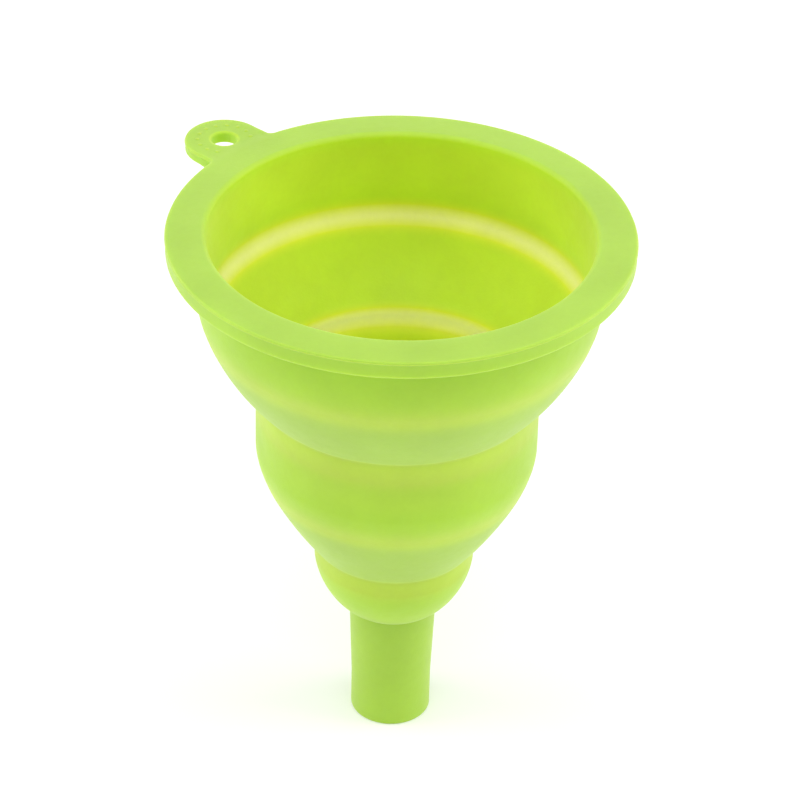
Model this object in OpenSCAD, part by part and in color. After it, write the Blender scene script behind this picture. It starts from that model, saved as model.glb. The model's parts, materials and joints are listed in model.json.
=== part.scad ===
// Collapsible silicone funnel: a stepped cup that folds flat on four living-hinge rings.
// Millimetres, +Z up. The origin is on the axis, at the open end of the spout.

/* [Rim] */
// Outer radius of the pouring rim, over the parting bead
rim_r = 40; // [39.5:0.1:40.5]
// Height of the rim's side
rim_h = 3.2; // [2.7:0.1:4]
// How far the rim's top rises from its outer edge to its inner crest
rim_rise = 0.2; // [0.1:0.1:1]
// Width of the flat crest that the funnel rests on when it stands upside down
rim_crest = 1; // [0.6:0.1:2]
// Radius of the rim's rounded inner lip
rim_lip_r = 0.9; // [0.4:0.1:1.5]
// Radius of the rim's top outer edge
rim_top_round = 0.25; // [0.15:0.05:0.3]
// Radius of the rim's lower outer edge
rim_low_round = 0.4; // [0.3:0.1:1.1]
// How far the mould's parting bead stands out of the rim's side
bead_h = 0.1; // [0.05:0.01:0.15]

/* [Hanging tab] */
// Distance from the funnel's axis to the middle of the tab's hole
tab_reach = 43.9; // [43.5:0.1:48]
// Radius of the tab's round end, which is also half its width
tab_r = 6.9; // [5.5:0.05:7.5]
// Radius of the hanging hole
tab_hole_r = 2.3; // [2:0.05:3.2]
// Thickness of the tab
tab_t = 2.2; // [1.6:0.1:2.2]
// How far the tab's top lies under the rim's top outer edge
tab_drop = 0.3; // [0.2:0.05:0.5]
// Direction of the tab round the axis, in degrees from +X
tab_angle = 136; // [0:1:359]
// Radius of the fillets between the tab's sides and the rim
tab_fillet = 1.2; // [1:0.1:2.5]
// Number of raised pips round the hole
pips = 11; // [5:1:13]

/* [Heights] */
// Depth from the rim's outer edge down to the upper outer hinge
upper_depth = 16.0; // [14:0.1:18]
// Height of the upper shoulder
upper_fold_h = 14.85; // [13:0.05:16]
// Height of the middle wall, hinge to hinge
middle_h = 17.35; // [15.5:0.05:19]
// Height of the lower shoulder
lower_fold_h = 15.4; // [13:0.1:16]
// Height of the lower bowl, hinge to spout
bowl_h = 13.9; // [13:0.1:16]
// Length of the spout
spout_l = 23.7; // [20:0.1:40]

/* [Outer radii] */
// Outer radius of the upper wall, under the rim
upper_r = 35.3; // [35:0.1:36]
// Outer radius at the upper outer hinge
upper_hinge_r = 33.9; // [33.4:0.1:34.4]
// Outer radius of the middle wall
middle_r = 24.7; // [24:0.05:25.5]
// Outer radius at the lower outer hinge
lower_hinge_r = 23.4; // [22.9:0.1:23.8]
// Outer radius of the lower bowl
bowl_r = 14.2; // [13.6:0.1:15]
// Outer radius of the spout where it meets the bowl
spout_top_r = 7.8; // [7.5:0.05:8]
// Outer radius of the spout's straight tip
spout_r = 7.2; // [6.9:0.02:7.3]
// Length of the spout's straight tip
spout_land = 7.5; // [5:0.5:12]
// Radius of the bore through the spout
bore_r = 5.6; // [5:0.1:5.8]

/* [Thickness] */
// Thickness of the upper wall
upper_t = 2.3; // [1.7:0.05:2.5]
// Thickness of the middle wall
middle_t = 2.1; // [1.7:0.05:2.3]
// Thickness of the folding shoulders
fold_t = 1.75; // [1.5:0.05:1.9]
// Thickness of the lower bowl
bowl_t = 1.8; // [1.6:0.05:1.9]
// Thickness of the living-hinge rings
hinge_t = 1.15; // [0.9:0.05:1.3]

/* [Hidden] */
$fn = 96;

// Heights of the stations, from the spout's tip up
z_spout = spout_l;
z_low_in = z_spout + bowl_h;
z_low_out = z_low_in + lower_fold_h;
z_up_in = z_low_out + middle_h;
z_up_out = z_up_in + upper_fold_h;
z_top = z_up_out + upper_depth;
z_rim = z_top - rim_h;

// The rim's plain side, under the bead, and its inner side
rim_side = rim_r - bead_h;
rim_in = upper_r - upper_t;
// Depth of the bead's middle under the rim's top outer edge
bead_drop = 0.45;

// How far the tab's blank reaches inside the rim's side, before it is cut to fit
tab_root = 2;
// How far each fillet's blank overlaps the side of the tab
fillet_overlap = 0.6;

// Raised pips, on an arc that is open towards the rim
pip_r = 0.34;
pip_h = 0.45;
pip_sink = 0.3;
pip_arc_r = (tab_r + tab_hole_r) / 2 + 0.1;
pip_half_sweep = 122;

// Rounding of the spout's tip, outside, and chamfer of the bore's mouth
tip_round = 0.4;
bore_chamfer = 0.3;

// How far an inner hinge's crease lies inside the wall below it
crease_inset = 0.05;
// Drop from a crease to the foot of its inner hinge ring
hinge_h = 1.2;
// Heights of the curved lower part of the middle wall, and of the bowl's curve
middle_curve_h = 5.6;
bowl_curve_h = 10.65;

// Shares of the curves, from the top, where the full-thickness bands start and end
upper_wall_end = 0.85;
middle_wall_end = 0.8;
fold_start = 0.06;
fold_end = 0.93;

hinge_color = [0.76, 0.87, 0.41];

// Control points of a cubic curve that runs down the profile. The two inner ones are given
// as [share of the change in radius, share of the drop in height].
function falling(start, end, share_1, share_2) =
    let (span = end - start)
    [start,
     start + [share_1[0] * span[0], share_1[1] * span[1]],
     start + [share_2[0] * span[0], share_2[1] * span[1]],
     end];

// Outer profile, as [radius, height]
upper_hinge = [upper_hinge_r, z_up_out];
lower_hinge = [lower_hinge_r, z_low_out];
upper_crease = [middle_r - crease_inset, z_up_in];
lower_crease = [bowl_r - crease_inset, z_low_in];

upper_curve = falling([upper_r, z_rim], upper_hinge, [0.02, 0.48], [0.36, 0.81]);
upper_fold = falling(upper_hinge, upper_crease, [0.075, 0.16], [0.393, 0.634]);
middle_curve = falling([middle_r, z_low_out + middle_curve_h], lower_hinge,
                       [0.01, 0.25], [0.34, 0.61]);
lower_fold = falling(lower_hinge, lower_crease, [0.09, 0.169], [0.574, 0.692]);
bowl_curve = falling([bowl_r, z_spout + bowl_curve_h], [spout_top_r, z_spout],
                     [0.05, 0.31], [0.40, 0.785]);

// Steps from the outside of a band to its inside, as [radius, height]. A sloping band's step
// is given for one nominal thickness and scaled from there.
upper_in = [-upper_t, 0];
middle_in = [-middle_t, 0];
hinge_in = [-hinge_t, 0];
upper_fold_in = fold_t / 1.77 * [-1.55, 0.85];
lower_fold_in = fold_t / 1.70 * [-1.5, 0.85];
bowl_in = bowl_t / 1.8 * [-1.75, 1];

// A shoulder's step, thinned to a hinge ring
function thinned(fold_in) = hinge_t / fold_t * fold_in;

// The point at a share of a curve, and the points along it between two shares
function point_on(curve, t) =
    pow(1 - t, 3) * curve[0] + 3 * t * pow(1 - t, 2) * curve[1]
    + 3 * t * t * (1 - t) * curve[2] + pow(t, 3) * curve[3];
function along(curve, from, to, steps) =
    [for (i = [0 : steps]) point_on(curve, from + (to - from) * i / steps)];

function reversed(points) = [for (i = [len(points) - 1 : -1 : 0]) points[i]];

// The points moved by a step that changes evenly from the first point to the last
function moved(points, first_step, last_step) =
    [for (i = [0 : len(points) - 1])
        points[i] + first_step + (last_step - first_step) * i / (len(points) - 1)];

// Section of a band with the given outside
function band(outside, first_step, last_step) =
    concat(outside, reversed(moved(outside, first_step, last_step)));

function arc(centre, radius, from, to, steps) =
    [for (i = [0 : steps])
        let (angle = from + (to - from) * i / steps)
        centre + radius * [cos(angle), sin(angle)]];

// Section of a shoulder at full thickness
function shoulder(fold, fold_in) = band(along(fold, fold_start, fold_end, 14), fold_in, fold_in);

// Section of the hinge ring from a wall's foot to the start of the shoulder below
function outer_hinge(wall, wall_end, fold, fold_in) =
    band(concat(along(wall, wall_end, 1, 3), along(fold, fold_start / 2, fold_start, 1)),
         hinge_in, thinned(fold_in));

// Section of the hinge ring from a shoulder's end to the wall below. inner_rise is the height of
// its inner corner over the crease, as a share of the ring's thickness.
function inner_hinge(fold, fold_in, crease, wall_r, inner_rise) =
    let (foot = crease[1] - hinge_h)
    concat(
        along(fold, fold_end, 1, 2),
        [[wall_r, foot],
         [wall_r - hinge_t, foot],
         [crease[0] - hinge_t, crease[1] + inner_rise * hinge_t],
         point_on(fold, fold_end) + thinned(fold_in)]);

module turned(section) { rotate_extrude() polygon(section); }

// Section of the thin line that the mould's parting leaves round the rim
function bead() = arc([rim_side, z_top - bead_drop], bead_h, -90, 90, 4);

// Thick turned-out rim: a top that falls gently outwards from a flat crest, a rounded inner lip,
// rounded outer edges and a parting bead
module rim_flange() {
    crest_z = z_top + rim_rise;
    lip_x = rim_in + rim_lip_r;
    color([0.70, 0.87, 0.38])
    turned(concat(
        [[rim_in, z_rim], [rim_side - rim_low_round, z_rim]],
        arc([rim_side - rim_low_round, z_rim + rim_low_round], rim_low_round, -90, 0, 6),
        bead(),
        arc([rim_side - rim_top_round, z_top - rim_top_round], rim_top_round, 0, 90, 4),
        [[lip_x + rim_crest, crest_z]],
        arc([lip_x, crest_z - rim_lip_r], rim_lip_r, 90, 180, 8)));
}

// Fillet between the rim and the tab's +Y side, with the tab along +X
module tab_corner() {
    centre_y = tab_r + tab_fillet;
    centre_x = sqrt(pow(rim_side + tab_fillet, 2) - centre_y * centre_y);
    // Where the fillet touches the rim, as a share of the way out to its centre
    touch = rim_side / (rim_side + tab_fillet);
    base_y = tab_r - fillet_overlap;
    difference() {
        polygon([
            [centre_x, base_y],
            [centre_x, tab_r],
            [centre_x * touch, centre_y * touch],
            [rim_side - tab_root, base_y]]);
        translate([centre_x, centre_y]) circle(r = tab_fillet);
    }
}

// Flat outline of the tab along +X, with its hole
module tab_outline() {
    difference() {
        union() {
            translate([tab_reach, 0]) circle(r = tab_r);
            translate([rim_side - tab_root, -tab_r])
                square([tab_reach - rim_side + tab_root, 2 * tab_r]);
            tab_corner();
            mirror([0, 1]) tab_corner();
        }
        circle(r = rim_side);
        translate([tab_reach, 0]) circle(r = tab_hole_r);
    }
}

// Tongue with a hanging hole, its root shaped to the rim's side, and raised pips round the hole
module hang_tab() {
    tab_top = z_top - tab_drop;
    color([0.66, 0.85, 0.33])
    rotate([0, 0, tab_angle]) {
        difference() {
            translate([0, 0, tab_top - tab_t]) linear_extrude(tab_t) tab_outline();
            turned(bead());
        }
        for (i = [0 : pips - 1])
            translate([tab_reach, 0, tab_top - pip_sink])
            rotate([0, 0, -pip_half_sweep + 2 * pip_half_sweep * i / (pips - 1)])
            translate([pip_arc_r, 0])
            cylinder(r = pip_r, h = pip_h);
    }
}

// Steep stiff wall under the rim
module upper_wall() {
    color([0.64, 0.80, 0.26])
    turned(band(along(upper_curve, 0, upper_wall_end, 8), upper_in, upper_in));
}

// Thin ring at the foot of the upper wall, relieved from the inside
module upper_outer_hinge() {
    color(hinge_color)
    turned(outer_hinge(upper_curve, upper_wall_end, upper_fold, upper_fold_in));
}

// Sloping shoulder that turns inside out in the first fold
module upper_shoulder() {
    color([0.69, 0.84, 0.38])
    turned(shoulder(upper_fold, upper_fold_in));
}

// Thin ring in the crease between the upper shoulder and the middle wall
module upper_inner_hinge() {
    color(hinge_color)
    turned(inner_hinge(upper_fold, upper_fold_in, upper_crease, middle_r, inner_rise = 0.4));
}

// Upright stiff wall of the middle step
module middle_wall() {
    outside = concat([[middle_r, z_up_in - hinge_h]], along(middle_curve, 0, middle_wall_end, 8));
    color([0.68, 0.83, 0.32])
    turned(band(outside, middle_in, middle_in));
}

// Thin ring at the foot of the middle wall, relieved from the inside
module lower_outer_hinge() {
    color(hinge_color)
    turned(outer_hinge(middle_curve, middle_wall_end, lower_fold, lower_fold_in));
}

// Sloping shoulder that turns inside out in the second fold
module lower_shoulder() {
    color([0.70, 0.84, 0.39])
    turned(shoulder(lower_fold, lower_fold_in));
}

// Thin ring in the crease between the lower shoulder and the bowl
module lower_inner_hinge() {
    color(hinge_color)
    turned(inner_hinge(lower_fold, lower_fold_in, lower_crease, bowl_r, inner_rise = 0.35));
}

// Rounded bowl that gathers the flow into the spout; its inside stops at the bore
module lower_bowl() {
    top = z_low_in - hinge_h;
    outside = along(bowl_curve, 0, 1, 12);
    inside = [for (point = outside) [max(point[0] + bowl_in[0], bore_r), point[1] + bowl_in[1]]];
    color([0.69, 0.84, 0.35])
    turned(concat(
        [[bowl_r, top]],
        outside,
        [[bore_r, z_spout]],
        reversed(inside),
        [[bowl_r + bowl_in[0], top]]));
}

// Pouring tube: a slight taper, a straight tip with a rounded end, and a round bore right through
module spout() {
    color([0.64, 0.82, 0.32])
    turned(concat(
        [[bore_r, z_spout], [bore_r, bore_chamfer], [bore_r + bore_chamfer, 0]],
        arc([spout_r - tip_round, tip_round], tip_round, -90, 0, 4),
        [[spout_r, spout_land], [spout_top_r, z_spout]]));
}

rim_flange();
hang_tab();
upper_wall();
upper_outer_hinge();
upper_shoulder();
upper_inner_hinge();
middle_wall();
lower_outer_hinge();
lower_shoulder();
lower_inner_hinge();
lower_bowl();
spout();
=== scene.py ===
"""A folding silicone funnel: a rim with a hanging tab, an upper wall, a middle wall and a bowl that
ends in a spout. Two sloping shoulders between them roll over when the funnel is pushed flat.

It stands upright round the Z axis, the spout's tip at z = 0 and the rim on top. The tab is
modelled along +X and then turned to TAB_ANGLE. Sizes are in millimetres, and Shell.build writes
them in metres.
"""

import json
import math

import bpy
import bmesh
import numpy as np
from mathutils import Matrix, Vector
from mathutils.geometry import delaunay_2d_cdt


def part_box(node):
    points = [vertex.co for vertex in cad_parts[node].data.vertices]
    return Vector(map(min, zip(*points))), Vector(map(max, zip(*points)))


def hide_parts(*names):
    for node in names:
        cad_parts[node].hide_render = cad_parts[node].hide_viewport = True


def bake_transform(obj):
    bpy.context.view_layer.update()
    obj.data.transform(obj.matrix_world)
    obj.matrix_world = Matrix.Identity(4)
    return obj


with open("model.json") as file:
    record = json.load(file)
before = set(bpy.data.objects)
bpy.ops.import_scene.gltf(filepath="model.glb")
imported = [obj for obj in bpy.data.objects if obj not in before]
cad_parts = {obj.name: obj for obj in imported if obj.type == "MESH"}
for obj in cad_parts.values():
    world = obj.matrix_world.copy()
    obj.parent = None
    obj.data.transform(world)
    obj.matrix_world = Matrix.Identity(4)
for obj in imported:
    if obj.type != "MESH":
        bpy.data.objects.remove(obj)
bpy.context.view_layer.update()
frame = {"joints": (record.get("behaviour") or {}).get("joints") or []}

MM = 0.001


def cad(node):
    """Lowest and highest corner of a CAD piece, in millimetres."""
    low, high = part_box(node)
    return np.array(low) / MM, np.array(high) / MM


# --- sizes ---------------------------------------------------------------------------------------
# Rim. Its top falls from an inner crest to its outer edge.
rim_low, rim_high = cad("rim_flange")
RIM_R, CREST_Z, RIM_UNDER_Z = float(rim_high[0]), float(rim_high[2]), float(rim_low[2])
RIM_FALL = 0.2
RIM_EDGE_Z = CREST_Z - RIM_FALL
BEAD = 0.1  # how far the bead round the rim's side stands out
SIDE_R = RIM_R - BEAD
LIP_R = 0.9  # rounding of the rim's inner lip
CREST_W = 1.0  # level width between the lip and the fall
TOP_ROUND, UNDER_ROUND = 0.25, 0.4  # edges of the rim's and tab's side
FILLET = 0.5  # between the rim's underside and the wall

# Walls, and the hinge rings of the two folds: each shoulder goes from an outer ring down to an
# inner one.
WALL_R = float(cad("upper_wall")[1][0])
MID_R = float(cad("middle_wall")[1][0])
BOWL_R = float(cad("lower_bowl")[1][0])
HINGE_H = 1.2
HINGE_INSET = 0.05  # the inner rings lie this far inside the wall below them
UP_IN_Z = float(cad("middle_wall")[1][2]) + HINGE_H
UP_OUT_Z = UP_IN_Z + 14.85
LOW_OUT_Z = UP_IN_Z - 17.35
LOW_IN_Z = float(cad("lower_bowl")[1][2]) + HINGE_H
UP_HINGE_R, LOW_HINGE_R = 33.9, 23.4
MID_CURVE_Z = LOW_OUT_Z + 5.6  # here the middle wall starts to curve in
SEAM_Z = UP_IN_Z - 8.4  # the two pieces meet in the stiff middle wall, where neither fold reaches

# Spout
SPOUT_Z = float(cad("spout")[1][2])
SPOUT_TOP_R = float(cad("spout")[1][0])
SPOUT_R, BORE_R = 7.2, 5.6
SPOUT_STRAIGHT_Z = 7.5  # the outside is straight below this
TIP_ROUND = 0.4
BOWL_CURVE_Z = SPOUT_Z + 10.65  # here the bowl starts to curve in

# Thicknesses
WALL_T, MID_T, FOLD_T, BOWL_T = 2.3, 2.1, 1.75, 1.8
HINGE_T, KINK_T = 1.3, 1.6  # at the outer and the inner hinge rings
INNER_R = WALL_R - WALL_T

# Tab: a rounded strip round a hole centred at x = TAB_REACH
TAB_REACH, TAB_R, TAB_HOLE_R, TAB_T, TAB_DROP, TAB_FILLET = 43.9, 6.9, 2.3, 2.2, 0.3, 1.2
TAB_TOP_Z = RIM_EDGE_Z - TAB_DROP
TAB_UNDER_Z = TAB_TOP_Z - TAB_T
TAB_ANGLE = 136.0
HOLE_ROUND = 0.35
HOLE_EDGE_R = TAB_HOLE_R + HOLE_ROUND
PIPS, PIP_R = 11, 0.42

# How far each fold lifts what lies below it
UP_TRAVEL, LOW_TRAVEL = [
    joint["range_m"][1] / MM
    for joint in sorted(frame["joints"], key=lambda joint: joint["name"], reverse=True)]

COLUMNS = 288  # round the axis
TAB_COLUMNS = 12  # of them on either side of +X, filled with triangles for the tab
RIM_SPAN = slice(TAB_COLUMNS, COLUMNS - TAB_COLUMNS + 1)  # the columns clear of the tab


# --- curves --------------------------------------------------------------------------------------
def smooth(x, low, high):
    t = np.clip((np.asarray(x, float) - low) / (high - low), 0.0, 1.0)
    return t * t * (3 - 2 * t)


def unit(vector):
    return vector / np.linalg.norm(vector)


def bezier(start, end, first, second, count, begin=0.0):
    """Points of a cubic; its handles are given as (radial, vertical) shares of the way."""
    start, end = np.array(start, float), np.array(end, float)
    way = end - start
    first, second = start + np.array(first) * way, start + np.array(second) * way
    out = []
    for i in range(count + 1):
        t = begin + (1 - begin) * i / count
        out.append((1 - t) ** 3 * start + 3 * t * (1 - t) ** 2 * first
                   + 3 * t * t * (1 - t) * second + t ** 3 * end)
    return out


def line(start, end, count):
    start, end = np.array(start, float), np.array(end, float)
    return [start + (end - start) * i / count for i in range(count + 1)]


def joined(*runs):
    """The runs as one, without doubled points."""
    out = []
    for run in runs:
        for point in run:
            if not out or np.linalg.norm(point - out[-1]) > 1e-6:
                out.append(np.array(point, float))
    return np.array(out)


def nearest(points, target):
    return int(np.argmin(np.linalg.norm(points - np.array(target), axis=1)))


def eased(points, corner, radius, steps):
    """The same points, with the corner nearest to `corner` turned into an arc."""
    at = nearest(points, corner)
    tip = points[at]
    before, after = unit(points[at - 1] - tip), unit(points[at + 1] - tip)
    half = math.acos(max(-1, min(1, float(before @ after)))) / 2
    reach = radius / math.tan(half)
    centre = tip + unit(before + after) * radius / math.sin(half)
    first, last = tip + before * reach - centre, tip + after * reach - centre
    start, end = math.atan2(first[1], first[0]), math.atan2(last[1], last[0])
    while end - start > math.pi:
        end -= 2 * math.pi
    while end - start < -math.pi:
        end += 2 * math.pi
    angles = [start + (end - start) * k / steps for k in range(steps + 1)]
    bend = [centre + radius * np.array([math.cos(a), math.sin(a)]) for a in angles]

    def clear(run):
        return [q for q in run if np.linalg.norm(q - tip) > reach * 1.08]

    return np.array(clear(points[:at]) + bend + clear(points[at + 1:]))


def normals(points):
    """Outward normals of a run of points that goes down the outside."""
    legs = np.diff(points, axis=0)
    legs = legs / np.linalg.norm(legs, axis=1)[:, None]
    along = np.zeros_like(points)
    along[0], along[-1] = legs[0], legs[-1]
    along[1:-1] = legs[:-1] + legs[1:]
    along = along / np.linalg.norm(along, axis=1)[:, None]
    return np.stack([-along[:, 1], along[:, 0]], axis=1)


def length_along(points):
    return np.concatenate([[0], np.cumsum(np.linalg.norm(np.diff(points, axis=0), axis=1))])


def band(along, at, above, below):
    """A soft band round the length `at`, with its own reach on either side."""
    gap = along - at
    return np.exp(-(gap / np.where(gap < 0, above, below)) ** 2)


# --- outside of the body, (radius, z) from under the rim to the spout's tip ----------------------
UP_KINK = [MID_R - HINGE_INSET, UP_IN_Z]
LOW_KINK = [BOWL_R - HINGE_INSET, LOW_IN_Z]
UP_RING, LOW_RING = [UP_HINGE_R, UP_OUT_Z], [LOW_HINGE_R, LOW_OUT_Z]
quarter = np.linspace(0, math.pi / 2, 6)

up_out = joined(
    [[WALL_R + FILLET - FILLET * math.sin(a), RIM_UNDER_Z - FILLET + FILLET * math.cos(a)]
     for a in quarter],
    bezier([WALL_R, RIM_UNDER_Z], UP_RING, [0.02, 0.48], [0.36, 0.81], count=20, begin=0.05),
    bezier(UP_RING, UP_KINK, [0.075, 0.16], [0.393, 0.634], count=40),
    line(UP_KINK, [MID_R, UP_IN_Z - HINGE_H], 4),
    line([MID_R, UP_IN_Z - HINGE_H], [MID_R, SEAM_Z], 12),
)
up_out = eased(up_out, UP_KINK, radius=1.1, steps=9)

low_out = joined(
    line([MID_R, SEAM_Z], [MID_R, MID_CURVE_Z], 8),
    bezier([MID_R, MID_CURVE_Z], LOW_RING, [0.01, 0.25], [0.34, 0.61], count=12),
    bezier(LOW_RING, LOW_KINK, [0.09, 0.169], [0.574, 0.692], count=36),
    line(LOW_KINK, [BOWL_R, BOWL_CURVE_Z], 9),
    bezier([BOWL_R, BOWL_CURVE_Z], [SPOUT_TOP_R, SPOUT_Z], [0.05, 0.31], [0.40, 0.785], count=28),
    line([SPOUT_TOP_R, SPOUT_Z], [SPOUT_R, SPOUT_STRAIGHT_Z], 26),
    line([SPOUT_R, SPOUT_STRAIGHT_Z], [SPOUT_R, TIP_ROUND], 10),
    [[SPOUT_R - TIP_ROUND + TIP_ROUND * math.cos(a), TIP_ROUND - TIP_ROUND * math.sin(a)]
     for a in quarter],
)
low_out = eased(low_out, LOW_KINK, radius=1.1, steps=9)
low_out = eased(low_out, [SPOUT_TOP_R, SPOUT_Z], radius=0.35, steps=5)

# Lengths down the outside, and where the hinge rings lie on them
up_s, low_s = length_along(up_out), length_along(low_out)
up_ring_s = up_s[nearest(up_out, UP_RING)]
up_kink_s = up_s[nearest(up_out, [MID_R, UP_IN_Z])]
low_ring_s = low_s[nearest(low_out, LOW_RING)]
low_kink_s = low_s[nearest(low_out, [BOWL_R, LOW_IN_Z])]


# --- inside of the body --------------------------------------------------------------------------
def inside_of(outside, base, steps, ring_s, ring_above, kink_s, kink_flat, kink_reach):
    """The outside moved in by the wall's thickness.

    The thickness is `base` at the bottom, changes at each (height, thickness) of `steps` going up,
    and is thinner at the outer hinge ring and the inner one, the kink.
    """
    along = length_along(outside)
    thick = np.full(len(outside), base, float)
    for z, value in steps:
        thick = thick + (value - thick) * smooth(outside[:, 1], z - 2.0, z + 1.5)
    thick = thick + (HINGE_T - thick) * band(along, ring_s + 0.1, above=ring_above, below=1.9)
    dip = 1 - smooth(np.abs(along - kink_s), kink_flat, kink_reach)
    thick = thick + (KINK_T - thick) * dip
    return outside - normals(outside) * thick[:, None]


up_in = inside_of(
    up_out, base=MID_T, steps=[(UP_IN_Z - 1, FOLD_T), (UP_OUT_Z, WALL_T)],
    ring_s=up_ring_s, ring_above=3.4, kink_s=up_kink_s + 0.5, kink_flat=0.8, kink_reach=4.5)
bowl_in = inside_of(
    low_out, base=BOWL_T, steps=[(LOW_IN_Z, FOLD_T), (LOW_OUT_Z, MID_T)],
    ring_s=low_ring_s, ring_above=3.2, kink_s=low_kink_s + 0.4, kink_flat=0.7, kink_reach=4.0)

# The bowl's inside stops where it meets the bore, with an eased edge.
bowl_end = next(i for i in range(len(bowl_in))
                if low_out[i, 1] < SPOUT_Z + 8 and bowl_in[i, 0] < BORE_R + 1.1)
bowl_in = bowl_in[:bowl_end]
slope = unit(bowl_in[-1] - bowl_in[-2])
bore_z = float(bowl_in[-1, 1] + slope[1] * (bowl_in[-1, 0] - BORE_R) / -slope[0])
low_in = joined(bowl_in, [[BORE_R, bore_z]], line([BORE_R, bore_z - 0.3], [BORE_R, 0.35], 36))
low_in = eased(low_in, [BORE_R, bore_z], radius=1.2, steps=7)
low_in = joined(low_in, [[BORE_R + 0.09, 0.1], [BORE_R + 0.3, 0.0]])


# --- travel weights: each shoulder rolls over its outer hinge, keeping its thickness -------------
IN_RISE = 1.2  # the inside starts to move this far above the outer hinge
IN_SINK = 0.6  # and moves fully this far below the inner one


def folded_skin(kink_z, ring_z, near_kink, near_ring):
    """Folded height over radius: a cubic through (radius, rise) stations.

    Rises are above the lifted inner hinge for `near_kink`, above the outer one for `near_ring`.
    """
    stations = [(r, kink_z + rise) for r, rise in near_kink]
    stations += [(r, ring_z + rise) for r, rise in near_ring]
    radii, heights = np.array(stations, float).T
    slopes = np.gradient(heights, radii)

    def height(radius):
        radius = np.clip(radius, radii[0], radii[-1])
        i = np.clip(np.searchsorted(radii, radius) - 1, 0, len(radii) - 2)
        gap = radii[i + 1] - radii[i]
        t = (radius - radii[i]) / gap
        return ((2 * t ** 3 - 3 * t ** 2 + 1) * heights[i]
                + (t ** 3 - 2 * t ** 2 + t) * gap * slopes[i]
                + (-2 * t ** 3 + 3 * t ** 2) * heights[i + 1]
                + (t ** 3 - t ** 2) * gap * slopes[i + 1])
    return height


def weigh(points, travel, above, below, folded):
    """0 over `above`, 1 under `below`, and between them what brings each point to its place."""
    weight = np.clip((folded(points[:, 0]) - points[:, 1]) / travel, 0, 1)
    weight = np.where(points[:, 1] > above, 0.0, weight)
    return np.where(points[:, 1] < below, 1.0, weight)


up_out_folded = folded_skin(
    UP_IN_Z + UP_TRAVEL, UP_OUT_Z,
    near_kink=[(24.4, 0), (24.7, -0.1), (26.5, -3.9)],
    near_ring=[(29, 3.6), (31, -0.6), (32.2, -2.0), (33.2, -1.7), (33.9, 0)])
up_in_folded = folded_skin(
    UP_IN_Z + UP_TRAVEL, UP_OUT_Z,
    near_kink=[(22.5, 0.2), (23.5, 0.45), (24.0, 1.3), (24.6, 1.6), (25.4, 1.1), (27, -1.5)],
    near_ring=[(29, 7.3), (31, 3.0), (32.3, 0.9), (33.4, 0.6)])
low_out_folded = folded_skin(
    LOW_IN_Z + LOW_TRAVEL, LOW_OUT_Z,
    near_kink=[(13.9, 0), (14.2, -0.1), (16, -3.9)],
    near_ring=[(18.5, 3.9), (20.5, -0.5), (21.7, -2.0), (22.7, -1.7), (23.4, 0)])
low_in_folded = folded_skin(
    LOW_IN_Z + LOW_TRAVEL, LOW_OUT_Z,
    near_kink=[(12.2, 0.2), (13.0, 0.45), (13.5, 1.3), (14.1, 1.6), (14.9, 1.1), (16.5, -1.5)],
    near_ring=[(18.5, 7.4), (20.5, 3.0), (21.8, 0.9), (22.9, 0.6)])

up_out_weight = weigh(up_out, UP_TRAVEL, UP_OUT_Z, UP_IN_Z - 0.02, up_out_folded)
up_in_weight = weigh(up_in, UP_TRAVEL, UP_OUT_Z + IN_RISE, UP_IN_Z - IN_SINK, up_in_folded)
low_out_weight = weigh(low_out, LOW_TRAVEL, LOW_OUT_Z, LOW_IN_Z - 0.02, low_out_folded)
low_in_weight = weigh(low_in, LOW_TRAVEL, LOW_OUT_Z + IN_RISE, LOW_IN_Z - IN_SINK, low_in_folded)


# --- shading values: painted light for the light through the thin places, painted shade on the shoulders, and
# how far each point is from the seam between the pieces -------------------------------------------
def shoulder(along, ring_s, kink_s):
    """1 on a shoulder's outside, between its hinge rings, where its painted shade goes."""
    return (smooth(along, ring_s - 0.5, ring_s + 3)
            * (1 - smooth(along, kink_s - 1.6, kink_s + 0.8)))


def strongest(*bands):
    return np.maximum.reduce(bands)


SEAM_FADE = 3.0
in_s = length_along(up_in)
in_ring_s = in_s[nearest(up_out, UP_RING)]
in_kink_s = in_s[int(np.argmin(np.abs(up_in[:, 1] - (UP_IN_Z - IN_SINK))))]
spout_s = low_s[nearest(low_out, [SPOUT_TOP_R, SPOUT_Z])]

up_away = smooth(up_s[-1] - up_s, 0.0, SEAM_FADE)
up_out_light = strongest(0.5 * band(up_s, up_ring_s, above=2.6, below=2.4),
                        band(up_s, up_kink_s + 0.9, above=1.3, below=3.6))
up_in_light = strongest(band(in_s, in_ring_s + 0.6, above=2.3, below=2.2),
                       band(in_s, in_kink_s, above=1.7, below=2.6))
up_out_shade = shoulder(up_s, up_ring_s, up_kink_s)
up_in_shading = (0.5 * smooth(up_s, up_ring_s - 0.5, up_ring_s + 2)
              + 0.5 * smooth(in_s, in_kink_s - 2.2, in_kink_s + 0.3))

# The lower piece takes up the upper kink's painted light from above its own start.
low_away = smooth(low_s, 0.0, SEAM_FADE)
low_out_light = strongest(band(low_s, up_kink_s - up_s[-1] + 0.9, above=1.3, below=3.6),
                         0.5 * band(low_s, low_ring_s, above=2.4, below=2.2),
                         0.8 * band(low_s, low_kink_s + 0.9, above=1.3, below=2.8))
low_in_light = strongest(band(low_s, in_kink_s - in_s[-1], above=1.7, below=2.6),
                        0.8 * band(low_s, low_ring_s + 0.6, above=1.9, below=2.2),
                        0.8 * band(low_s, low_kink_s + 0.6, above=1.7, below=2.4))
# painted shade rising over the bowl's underside to the spout, and at 0.6 on the spout
spout_shade = np.where(low_s < spout_s + 0.1, smooth(low_s, spout_s - 7, spout_s - 1), 0.6)
low_out_shade = np.maximum(shoulder(low_s, low_ring_s, low_kink_s), spout_shade)


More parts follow.
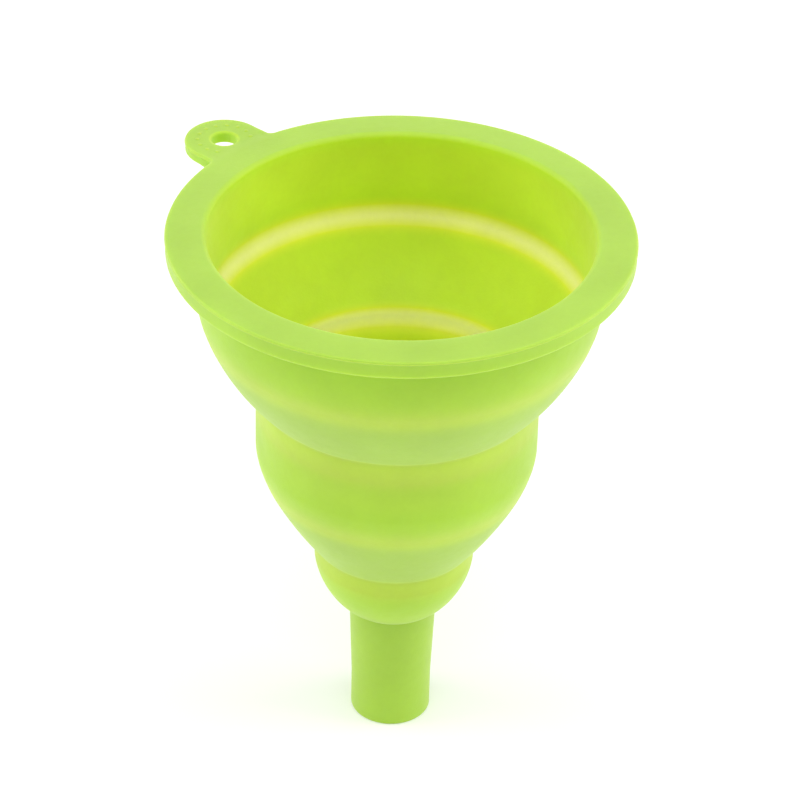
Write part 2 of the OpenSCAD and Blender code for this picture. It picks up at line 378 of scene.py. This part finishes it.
def down_bore(values):
    """Values of the lower piece's run carried over by height to its inside points."""
    return np.interp(low_in[:, 1][::-1], bowl_in[:, 1][::-1], values[:bowl_end][::-1])[::-1]


def rows(points, *traits):
    """One row per ring: radius, z, weight, painted light, inside, painted shading, away."""
    traits = [np.broadcast_to(trait, len(points)) for trait in traits]
    return np.column_stack([points, *traits])


UP_OUT_ROWS = rows(up_out, up_out_weight, up_out_light, 0.0, up_out_shade, up_away)
UP_IN_ROWS = rows(up_in, up_in_weight, up_in_light, 1.0, up_in_shading, up_away)
LOW_OUT_ROWS = rows(low_out, low_out_weight, low_out_light, 0.0, low_out_shade, low_away)
LOW_IN_ROWS = rows(low_in, low_in_weight, down_bore(low_in_light), 1.0, 1.0, down_bore(low_away))


# --- mesh ----------------------------------------------------------------------------------------
class Shell:
    """One closed piece. A point is (x, y, z, weight, painted light, inside, painted shading, away).
    """

    def __init__(self):
        self.points, self.faces, self.sharp = [], [], set()

    def add(self, x, y, z, weight=0.0, pale=0.0, inside=0.0, cool=0.0, away=1.0):
        self.points.append((x, y, z, weight, pale, inside, cool, away))
        return len(self.points) - 1

    def ring(self, radius, z, *traits, count=COLUMNS, centre=(0.0, 0.0), **named):
        angles = [2 * math.pi * k / count for k in range(count)]
        return [self.add(centre[0] + radius * math.cos(a), centre[1] + radius * math.sin(a), z,
                         *traits, **named) for a in angles]

    def strips(self, rows):
        """Quads between neighbouring open rows of points."""
        for a, b in zip(rows, rows[1:]):
            self.faces.extend(zip(a, a[1:], b[1:], b))

    def bands(self, loops):
        """Quads between neighbouring closed loops."""
        self.strips([loop + loop[:1] for loop in loops])

    def sharpen(self, loop):
        for pair in zip(loop, loop[1:] + loop[:1]):
            self.sharp.add(frozenset(pair))

    def drop_unused(self):
        keep = sorted(set(i for face in self.faces for i in face))
        new = {old: i for i, old in enumerate(keep)}
        self.faces = [tuple(new[i] for i in face) for face in self.faces]
        self.sharp = {frozenset(new[i] for i in pair) for pair in self.sharp}
        self.points = [self.points[i] for i in keep]

    def build(self, name, turn):
        cos, sin = math.cos(math.radians(turn)), math.sin(math.radians(turn))
        x, y, z, weight, pale, inside, cool, away = np.array(self.points, float).T
        places = np.stack([x * cos - y * sin, x * sin + y * cos, z], axis=1) * MM
        mesh = bpy.data.meshes.new(name)
        mesh.from_pydata(places.tolist(), [], self.faces)
        mesh.update()
        bm = bmesh.new()
        bm.from_mesh(mesh)
        bmesh.ops.recalc_face_normals(bm, faces=bm.faces)
        for edge in bm.edges:
            if frozenset((edge.verts[0].index, edge.verts[1].index)) in self.sharp:
                edge.smooth = False
        for face in bm.faces:
            face.smooth = True
        bm.to_mesh(mesh)
        bm.free()
        height = places[:, 2] / MM
        rim = np.maximum(smooth(height, RIM_EDGE_Z - 1.3, RIM_EDGE_Z - 0.35),
                         0.4 * smooth(height, RIM_UNDER_Z - 0.4, RIM_UNDER_Z + 0.5))
        # on the inside this band carries painted shade just inside the lip
        edge = smooth(height, RIM_EDGE_Z - 3.2, RIM_EDGE_Z - 0.7)
        for key, values in (("pale", pale), ("inside", inside), ("cool", cool), ("away", away),
                            ("rim", rim), ("edge", edge)):
            attribute = mesh.attributes.new(key, "FLOAT", "POINT")
            attribute.data.foreach_set("value", values.astype(np.float32))
        attribute = mesh.attributes.new("rest_place", "FLOAT_VECTOR", "POINT")
        attribute.data.foreach_set("vector", places.astype(np.float32).ravel())
        piece = bpy.data.objects.new(name, mesh)
        bpy.context.scene.collection.objects.link(piece)
        return piece, weight.astype(np.float32)


# --- rim and tab ---------------------------------------------------------------------------------
def tab_outline():
    """Rim and tab from above, counterclockwise from the end of the tab's sector.

    Columns: x, y, outward normal x, y.
    """
    def on_rim(angle):
        x, y = math.cos(angle), math.sin(angle)
        return (SIDE_R * x, SIDE_R * y, x, y)

    rim = [on_rim(2 * math.pi * k / COLUMNS)
           for k in range(TAB_COLUMNS, COLUMNS - TAB_COLUMNS + 1)]
    # half of the tab, on the -Y side: fillet, straight side, round end
    fillet_y = TAB_R + TAB_FILLET
    fillet_x = math.sqrt((SIDE_R + TAB_FILLET) ** 2 - fillet_y * fillet_y)
    meet = math.asin(fillet_y / (SIDE_R + TAB_FILLET))
    half = []
    for k in (11, 10):
        angle = -2 * math.pi * k / COLUMNS
        if abs(angle) > meet + 0.004:
            half.append(on_rim(angle))
    for i in range(9):
        angle = (math.pi - meet) + (math.pi / 2 - (math.pi - meet)) * i / 8
        x, y = math.cos(angle), math.sin(angle)
        half.append((fillet_x + TAB_FILLET * x, -fillet_y + TAB_FILLET * y, -x, -y))
    for i in range(1, 4):
        half.append((fillet_x + (TAB_REACH - fillet_x) * i / 4, -TAB_R, 0, -1))
    for i in range(19):
        angle = -math.pi / 2 + math.pi / 2 * i / 18
        x, y = math.cos(angle), math.sin(angle)
        half.append((TAB_REACH + TAB_R * x, TAB_R * y, x, y))
    other = [(x, -y, nx, -ny) for x, y, nx, ny in reversed(half[:-1])]
    return np.array(rim + half + other)


def tab_share(x, y):
    """1 on the tab, 0 on the rest of the rim."""
    across = 1 - smooth(np.abs(y), 5.5, 8.4)
    return np.maximum(across, smooth(x, 40.6, 42.6)) * (x > 0)


def rim_fall(radius):
    """The fall of the rim's top from its crest, with the corner at the crest eased."""
    t = np.clip((np.asarray(radius, float) - (INNER_R + LIP_R + CREST_W))
                / (SIDE_R - TOP_ROUND - INNER_R - LIP_R - CREST_W), 0, 1)
    ease = 0.12
    return RIM_FALL * np.where(t < ease, t * t / (2 * ease), t - ease / 2) / (1 - ease / 2)


def top_z(x, y):
    radius = np.hypot(x, y)
    return CREST_Z - rim_fall(radius) - TAB_DROP * smooth(radius, 38.7, 41.5) * tab_share(x, y)


def under_z(x, y):
    radius = np.hypot(x, y)
    return RIM_UNDER_Z + (TAB_UNDER_Z - RIM_UNDER_Z) * smooth(radius, 39.6, 41.4) * tab_share(x, y)


def in_polygon(x, y, polygon):
    inside = False
    j = len(polygon) - 1
    for i in range(len(polygon)):
        xi, yi = polygon[i]
        xj, yj = polygon[j]
        if (yi > y) != (yj > y) and x < (xj - xi) * (y - yi) / (yj - yi) + xi:
            inside = not inside
        j = i
    return inside


def is_clear(x, y, gap, others):
    return float(np.min(np.hypot(others[:, 0] - x, others[:, 1] - y))) > gap


def support_points(shell, supports, outline, inset, pips_at):
    """Free points that follow the plate's edges, the rim's rings, the hole and the pips."""
    out = []
    for x, y, nx, ny in outline[COLUMNS - 2 * TAB_COLUMNS:]:
        out.append((x - nx * (inset + 0.22), y - ny * (inset + 0.22)))
    for k in range(1 - TAB_COLUMNS, TAB_COLUMNS):
        angle = 2 * math.pi * k / COLUMNS
        for loop in supports[:4]:
            radius = math.hypot(*shell.points[loop[0]][:2])
            out.append((radius * math.cos(angle), radius * math.sin(angle)))
    for i in range(40):
        angle = 2 * math.pi * (i + 0.5) / 40
        out.append((TAB_REACH + (HOLE_EDGE_R + 0.22) * math.cos(angle),
                    (HOLE_EDGE_R + 0.22) * math.sin(angle)))
    for pip in pips_at:
        for i in range(9):
            angle = 2 * math.pi * i / 9
            out.append((pip[0] + (PIP_R + 0.16) * math.cos(angle),
                        pip[1] + (PIP_R + 0.16) * math.sin(angle)))
    return out


def grid_points(polygon, step):
    """An even triangular grid over the polygon's box."""
    x_low, x_high = polygon[:, 0].min(), polygon[:, 0].max()
    y, y_high = polygon[:, 1].min(), polygon[:, 1].max()
    out = []
    row = 0
    while y < y_high:
        x = x_low + (row % 2) * step / 2
        while x < x_high:
            out.append((x, y))
            x += step
        y += step * 0.866
        row += 1
    return out


def plate(shell, height, inner_loop, supports, outline_loop, outline, inset, hole_loop, pips):
    """Fills the tab's sector with triangles, from the rim's inner ring to the outline, round the
    hole and the pips. `supports` are the rim's rings that end at the sector."""
    boundary = (
        inner_loop[-TAB_COLUMNS:] + inner_loop[:TAB_COLUMNS + 1]
        + [loop[TAB_COLUMNS] for loop in supports]
        + (outline_loop[COLUMNS - 2 * TAB_COLUMNS:] + outline_loop[:1])[::-1]
        + [loop[-TAB_COLUMNS] for loop in supports][::-1])
    holes = [hole_loop] + pips
    ids, places, edges = [], [], []
    for loop in [boundary] + holes:
        base = len(ids)
        for i, point in enumerate(loop):
            ids.append(point)
            places.append(Vector(shell.points[point][:2]))
            edges.append((base + i, base + (i + 1) % len(loop)))
    polygon = np.array([shell.points[i][:2] for i in boundary])
    pips_at = [np.mean([shell.points[i][:2] for i in pip], axis=0) for pip in pips]

    def allowed(x, y, margin):
        if not in_polygon(x, y, polygon):
            return False
        if math.hypot(x - TAB_REACH, y) < HOLE_EDGE_R + margin:
            return False
        return all(math.hypot(x - pip[0], y - pip[1]) > PIP_R + margin for pip in pips_at)

    fixed = np.array([tuple(place) for place in places])
    chosen = []
    for x, y in support_points(shell, supports, outline, inset, pips_at):
        if allowed(x, y, 0.08) and is_clear(x, y, 0.12, fixed):
            if not chosen or is_clear(x, y, 0.14, np.array(chosen)):
                chosen.append((x, y))
    taken = np.array([tuple(place) for place in places] + chosen)
    filling = [(x, y) for x, y in grid_points(polygon, step=0.72)
               if allowed(x, y, 0.3) and is_clear(x, y, 0.5, taken)]
    for x, y in chosen + filling:
        ids.append(shell.add(x, y, float(height(x, y))))
        places.append(Vector((x, y)))

    corners, _, faces, origins, _, _ = delaunay_2d_cdt(places, edges, [], 1, 1e-6)
    back = [ids[origin[0]] for origin in origins]
    for face in faces:
        points = tuple(back[i] for i in face)
        if any(set(points) <= set(hole) for hole in holes):
            continue
        middle = sum((corners[i] for i in face), Vector((0, 0))) / len(face)
        if in_polygon(middle.x, middle.y, polygon):
            shell.faces.append(points)


# Upper part of the side, (outward, up) from its top edge: the bead and the face round it
BEAD_PROFILE = [
    (0, -0.30), (0.018, -0.345), (0.060, -0.385), (0.092, -0.42), (0.10, -0.45),
    (0.092, -0.48), (0.060, -0.515), (0.018, -0.56), (0, -0.62), (0, -0.75)]


def rim_side(shell, outline):
    """The side of the rim and tab. Gives its top and its lowest row."""
    x, y, nx, ny = outline.T
    upper = [(-TOP_ROUND + TOP_ROUND * math.sin(a), -TOP_ROUND + TOP_ROUND * math.cos(a))
             for a in np.radians(np.arange(0, 91, 15))] + BEAD_PROFILE
    lower = [(0, 0.95), (0, UNDER_ROUND + 0.12)]
    lower += [(-UNDER_ROUND + UNDER_ROUND * math.cos(a), UNDER_ROUND - UNDER_ROUND * math.sin(a))
              for a in np.radians(np.arange(0, 91, 18))]
    side = []
    for face_z, inset, profile in ((top_z, TOP_ROUND, upper), (under_z, UNDER_ROUND, lower)):
        level = face_z(x - nx * inset, y - ny * inset)
        for out, rise in profile:
            z = level + rise
            # painted highlight along the bead
            pale = 0.3 if out > 0.05 else 0.0
            side.append([shell.add(x[i] + nx[i] * out, y[i] + ny[i] * out, z[i], pale=pale)
                         for i in range(len(x))])
    shell.bands(side)
    return side[0], side[-1]


def lip_and_inside(shell):
    """The rounded inner lip and the inside down to the seam. Gives its first and last ring."""
    lip = []
    for i in range(10):
        angle = math.pi / 2 + math.pi / 2 * i / 9
        lip.append(shell.ring(INNER_R + LIP_R + LIP_R * math.cos(angle),
                              CREST_Z - LIP_R + LIP_R * math.sin(angle),
                              inside=0.9 * (i / 9) ** 1.3))
    lip_z = CREST_Z - LIP_R
    inside = UP_IN_ROWS[6:]
    inside = inside[inside[:, 1] <= lip_z - 2.4]
    first_r, first_z = inside[0][:2]
    lead = [shell.ring(INNER_R + (first_r - INNER_R) * t * t, lip_z + (first_z - lip_z) * t,
                       inside=1.0) for t in np.linspace(0, 1, 6)[1:-1]]
    loops = lip + lead + [shell.ring(*row) for row in inside]
    shell.bands(loops)
    return loops[0], loops[-1]


def tab_hole(shell):
    """The hole through the tab, with rounded edges. Gives its top and bottom loop."""
    turns = np.linspace(0, math.pi / 2, 5)
    profile = [(HOLE_ROUND - HOLE_ROUND * math.sin(a),
                TAB_TOP_Z - HOLE_ROUND + HOLE_ROUND * math.cos(a)) for a in turns]
    profile += [(0, (TAB_TOP_Z + TAB_UNDER_Z) / 2)]
    profile += [(HOLE_ROUND - HOLE_ROUND * math.cos(a),
                 TAB_UNDER_Z + HOLE_ROUND - HOLE_ROUND * math.sin(a)) for a in turns]
    loops = [shell.ring(TAB_HOLE_R + out, z, inside=0.3, count=56, centre=(TAB_REACH, 0.0))
             for out, z in profile]
    shell.bands(loops)
    return loops[0], loops[-1]


def tab_pips(shell):
    """Low domes on the tab, in an arc round its end. Gives their foot loops."""
    feet = []
    arc_r = (TAB_R + TAB_HOLE_R) / 2 + 0.1
    for i in range(PIPS):
        angle = math.radians(-122 + 244 * i / (PIPS - 1))
        x, y = TAB_REACH + arc_r * math.cos(angle), arc_r * math.sin(angle)
        # the pips' domes carry a painted highlight
        loops = [shell.ring(radius, TAB_TOP_Z + rise, pale=0.2 if rise else 0.0, count=12,
                            centre=(x, y))
                 for radius, rise in ((PIP_R, 0.0), (0.37, 0.055), (0.27, 0.115), (0.14, 0.145))]
        shell.bands(loops)
        tip = shell.add(x, y, TAB_TOP_Z + 0.15, pale=0.22)
        last = loops[-1]
        for a, b in zip(last, last[1:] + last[:1]):
            shell.faces.append((a, b, tip))
        feet.append(loops[0])
    return feet


def rim_face(shell, loops, edge_row):
    """One face of the rim, outside the tab's sector."""
    shell.strips([loop[RIM_SPAN] for loop in loops] + [edge_row])


# --- the two pieces ------------------------------------------------------------------------------
def upper_piece():
    """Rim, tab, upper wall, shoulder and the top of the middle wall."""
    shell = Shell()
    outline = tab_outline()
    top_row, under_row = rim_side(shell, outline)
    lip_loop, in_end = lip_and_inside(shell)

    lip_out = INNER_R + LIP_R
    crest_r = lip_out + CREST_W
    top_radii = (lip_out + 0.2, crest_r, crest_r + 0.3, crest_r + 0.6, 37.4,
                 SIDE_R - TOP_ROUND - 0.22)
    top_loops = [shell.ring(radius, CREST_Z - float(rim_fall(radius))) for radius in top_radii]
    rim_face(shell, [lip_loop] + top_loops, top_row)
    hole_top, hole_under = tab_hole(shell)
    pips = tab_pips(shell)
    plate(shell, top_z, lip_loop, top_loops, top_row, outline, TOP_ROUND, hole_top, pips)

    outside = [shell.ring(*row) for row in UP_OUT_ROWS]
    shell.bands(outside)
    under_radii = (WALL_R + FILLET + 0.2, 37.8, SIDE_R - UNDER_ROUND - 0.2)
    under_loops = [shell.ring(radius, RIM_UNDER_Z) for radius in under_radii]
    rim_face(shell, [outside[0]] + under_loops, under_row)
    plate(shell, under_z, outside[0], under_loops, under_row, outline, UNDER_ROUND,
          hole_under, [])

    # flat end at the seam
    shell.bands([outside[-1], in_end])
    shell.sharpen(outside[-1])
    shell.sharpen(in_end)
    # the rim's rings also have points in the tab's sector, which its triangles don't use
    shell.drop_unused()
    return shell


def lower_piece():
    """The rest of the middle wall, the lower shoulder, the bowl and the spout."""
    shell = Shell()
    outside = [shell.ring(*row) for row in LOW_OUT_ROWS]
    inside = [shell.ring(*row) for row in LOW_IN_ROWS]
    shell.bands(outside)
    shell.bands(inside)
    for end in (0, -1):
        shell.bands([outside[end], inside[end]])
    shell.sharpen(outside[0])
    shell.sharpen(inside[0])
    return shell


# --- material ------------------------------------------------------------------------------------
def srgb(*channels):
    def linear(value):
        value /= 255
        return value / 12.92 if value <= 0.04045 else ((value + 0.055) / 1.055) ** 2.4
    return (*[linear(value) for value in channels], 1.0)


# Outside: wall, rim, painted shade on the shoulders and spout, painted light through the thin outer
# hinge rings and in the creases of the inner rings
BODY, RIM, PAINTED_SHADE = srgb(168, 208, 51), srgb(167, 204, 73), srgb(161, 197, 68)
PAINTED_GLOW, CREASE_GLOW = srgb(181, 208, 68), srgb(187, 214, 71)
# Inside, a lighter, yellower copy of the outside standing for light through the walls: wall, wall
# by the rim with painted shade, upper shoulder, and brighter painted light all below it
INNER, INNER_LIP_SHADE = srgb(203, 228, 46), srgb(198, 228, 42)
INNER_SHOULDER, INNER_DEEP_LIT = srgb(199, 222, 49), srgb(224, 239, 72)
# Inside thin places, pale with painted light through them, and the warm painted glow of the fringe
# round them, each above and below
FRINGE_GLOW, FRINGE_GLOW_DEEP = srgb(220, 226, 52), srgb(236, 239, 95)
INNER_GLOW, INNER_GLOW_DEEP = srgb(227, 228, 146), srgb(253, 249, 203)


def silicone(name):
    material = bpy.data.materials.new(name)
    material.use_nodes = True
    tree = material.node_tree
    tree.nodes.clear()
    link = tree.links.new

    def node(kind, **props):
        made = tree.nodes.new(kind)
        for key, value in props.items():
            setattr(made, key, value)
        return made

    output = node("ShaderNodeOutputMaterial")
    bsdf = node("ShaderNodeBsdfPrincipled")
    link(bsdf.outputs[0], output.inputs[0])

    def attr(key, socket="Fac"):
        made = node("ShaderNodeAttribute", attribute_name=key, attribute_type="GEOMETRY")
        return made.outputs[socket]

    def mix(first, second, share):
        made = node("ShaderNodeMix", data_type="RGBA", blend_type="MIX")
        for socket, value in ((made.inputs[6], first), (made.inputs[7], second),
                              (made.inputs[0], share)):
            if isinstance(value, tuple):
                socket.default_value = value
            else:
                link(value, socket)
        return made.outputs[2]

    def noise(scale, detail, rough=0.5):
        made = node("ShaderNodeTexNoise")
        made.inputs["Scale"].default_value = scale
        made.inputs["Detail"].default_value = detail
        made.inputs["Roughness"].default_value = rough
        link(place, made.inputs["Vector"])
        return made.outputs["Fac"]

    def remap(source, span, to=(0, 1)):
        made = node("ShaderNodeMapRange")
        for i, value in enumerate((*span, *to), 1):
            made.inputs[i].default_value = value
        link(source, made.inputs[0])
        return made.outputs[0]

    place = attr("rest_place", "Vector")
    pale, inside, cool, away, rim, edge = [
        attr(key) for key in ("pale", "inside", "cool", "away", "rim", "edge")]

    # outside, the painted light for light through the thin silicone is 0.5 on the outer hinge rings
    # and 1 in the creases of the inner ones
    outer = mix(mix(BODY, RIM, rim), PAINTED_SHADE, cool)
    outer = mix(outer, PAINTED_GLOW, remap(pale, span=(0, 0.5)))
    outer = mix(outer, CREASE_GLOW, remap(pale, span=(0.5, 1)))
    # inside, the painted shading runs from 0 on the upper wall over 0.5 on its shoulder to 1 below,
    # where painted light makes it brighter; the thin places get pale painted light with a warm
    # painted fringe
    lower = remap(cool, span=(0.5, 1))
    inner = mix(mix(INNER, INNER_SHOULDER, remap(cool, span=(0, 0.5))), INNER_DEEP_LIT, lower)
    # painted shade just inside the lip
    inner = mix(inner, INNER_LIP_SHADE, edge)
    inner = mix(inner, mix(FRINGE_GLOW, FRINGE_GLOW_DEEP, lower), remap(pale, span=(0.05, 0.5)))
    inner = mix(inner, mix(INNER_GLOW, INNER_GLOW_DEEP, lower), remap(pale, span=(0.42, 1)))
    base = mix(outer, inner, inside)

    # slow cloudiness of the pigment, and a faint mottle
    cloud = remap(noise(scale=60, detail=3), span=(0.35, 0.65), to=(0.955, 1.035))
    mottle = remap(noise(scale=900, detail=4, rough=0.6), span=(0.3, 0.7), to=(0.985, 1.015))
    both = node("ShaderNodeMath", operation="MULTIPLY")
    link(cloud, both.inputs[0])
    link(mottle, both.inputs[1])
    shade = node("ShaderNodeVectorMath", operation="SCALE")
    link(base, shade.inputs[0])
    link(both.outputs[0], shade.inputs["Scale"])
    link(shade.outputs[0], bsdf.inputs["Base Color"])
    rough = remap(noise(scale=420, detail=5, rough=0.6), span=(0.3, 0.7), to=(0.46, 0.60))
    link(rough, bsdf.inputs["Roughness"])

    # satin mould texture: fine grain over slow waves
    grain = noise(scale=2600, detail=3, rough=0.55)
    waves = noise(scale=150, detail=2)
    relief = node("ShaderNodeMath", operation="MULTIPLY_ADD")
    link(waves, relief.inputs[0])
    relief.inputs[1].default_value = 2.5  # the waves' share against the grain
    link(grain, relief.inputs[2])
    bump = node("ShaderNodeBump")
    bump.inputs["Strength"].default_value = 0.18
    bump.inputs["Distance"].default_value = 0.00012
    link(relief.outputs[0], bump.inputs["Height"])
    link(bump.outputs[0], bsdf.inputs["Normal"])

    # light goes a little way in, except at the seam, and a soft sheen lies on top
    bsdf.subsurface_method = "RANDOM_WALK"
    link(remap(away, span=(0, 1), to=(0.0, 0.75)), bsdf.inputs["Subsurface Weight"])
    for key, value in {
        "IOR": 1.41,
        "Specular IOR Level": 0.42,
        "Subsurface Radius": (1.0, 1.0, 0.45),
        "Subsurface Scale": 0.0022,
        "Sheen Weight": 0.38,
        "Sheen Roughness": 0.5,
        "Sheen Tint": srgb(235, 255, 190),
    }.items():
        bsdf.inputs[key].default_value = value
    return material


lime = silicone("lime_silicone")


def finish_piece(shell, name, turn, nodes):
    piece, weight = shell.build(name, turn)
    piece.data.materials.append(lime)
    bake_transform(piece)
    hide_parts(*nodes)


finish_piece(upper_piece(), "cup_upper", TAB_ANGLE,
             ["rim_flange", "hang_tab", "upper_wall", "upper_outer_hinge", "upper_shoulder",
              "upper_inner_hinge"])
finish_piece(lower_piece(), "cup_lower", 0.0,
             ["middle_wall", "lower_outer_hinge", "lower_shoulder", "lower_inner_hinge",
              "lower_bowl", "spout"])


# --- floor, light, camera (metres) ---------------------------------------------------------------
def add_floor():
    bm = bmesh.new()
    bmesh.ops.create_circle(bm, cap_ends=True, radius=3.0, segments=64)
    mesh = bpy.data.meshes.new("floor")
    bm.to_mesh(mesh)
    bm.free()
    floor = bpy.data.objects.new("floor", mesh)
    bpy.context.scene.collection.objects.link(floor)
    material = bpy.data.materials.new("floor_white")
    material.use_nodes = True
    bsdf = material.node_tree.nodes["Principled BSDF"]
    for key, value in {
        "Base Color": (0.93, 0.93, 0.93, 1),
        "Roughness": 0.9,
        "Specular IOR Level": 0.0,
        "Emission Color": (1, 1, 1, 1),
        "Emission Strength": 0.11,
    }.items():
        bsdf.inputs[key].default_value = value
    mesh.materials.append(material)


def add_world(strength):
    world = bpy.data.worlds.new("studio")
    bpy.context.scene.world = world
    world.use_nodes = True
    background = world.node_tree.nodes["Background"]
    background.inputs[0].default_value = (1, 1, 1, 1)
    background.inputs[1].default_value = strength


def add_light(name, place, size, power):
    """A round area light aimed at the funnel."""
    light = bpy.data.lights.new(name, "AREA")
    light.shape = "DISK"
    light.size = size
    light.energy = power
    lamp = bpy.data.objects.new(name, light)
    bpy.context.scene.collection.objects.link(lamp)
    lamp.location = place
    aim = Vector((0, 0, 0.06)) - Vector(place)
    lamp.rotation_euler = aim.to_track_quat("-Z", "Y").to_euler()


def turned(first, second, angle):
    """A square pair of directions turned in their plane, `first` towards `second`."""
    cos, sin = math.cos(angle), math.sin(angle)
    return first * cos + second * sin, second * cos - first * sin


def add_camera(distance, elevation, tilt, pan, roll):
    """Looks from -Y and above at the middle of the rim, then turns down by `tilt`, right by
    `pan` and round its own axis by `roll`, in degrees, so the funnel is a little off the middle."""
    elevation, tilt, pan, roll = [math.radians(v) for v in (elevation, tilt, pan, roll)]
    offset = distance * np.array([0, -math.cos(elevation), math.sin(elevation)])
    ahead, right = -unit(offset), np.array([1.0, 0, 0])
    ahead, up = turned(ahead, np.cross(right, ahead), -tilt)
    ahead, right = turned(ahead, right, pan)
    right, up = turned(right, up, roll)
    lens = bpy.data.cameras.new("camera")
    lens.sensor_width = 36.0
    lens.lens = 159.876
    lens.clip_start, lens.clip_end = 0.01, 20
    camera = bpy.data.objects.new("camera", lens)
    bpy.context.scene.collection.objects.link(camera)
    place = (offset + np.array([0, 0, RIM_EDGE_Z])) * MM
    camera.matrix_world = Matrix((*zip(right, up, -ahead, place), (0, 0, 0, 1)))
    bpy.context.scene.camera = camera


add_floor()
add_world(strength=0.72)
add_light("left", place=(-0.75, 0.05, 0.5), size=0.6, power=2.2)
add_light("right", place=(0.75, 0.05, 0.5), size=0.6, power=2.45)
add_light("top", place=(0.0, -0.42, 1.05), size=0.9, power=3.3)
add_camera(distance=600.0, elevation=31.4794, tilt=2.7046, pan=0.0408, roll=1.421)
bpy.context.scene.view_settings.view_transform = "Standard"
bpy.context.scene.view_settings.look = "None"
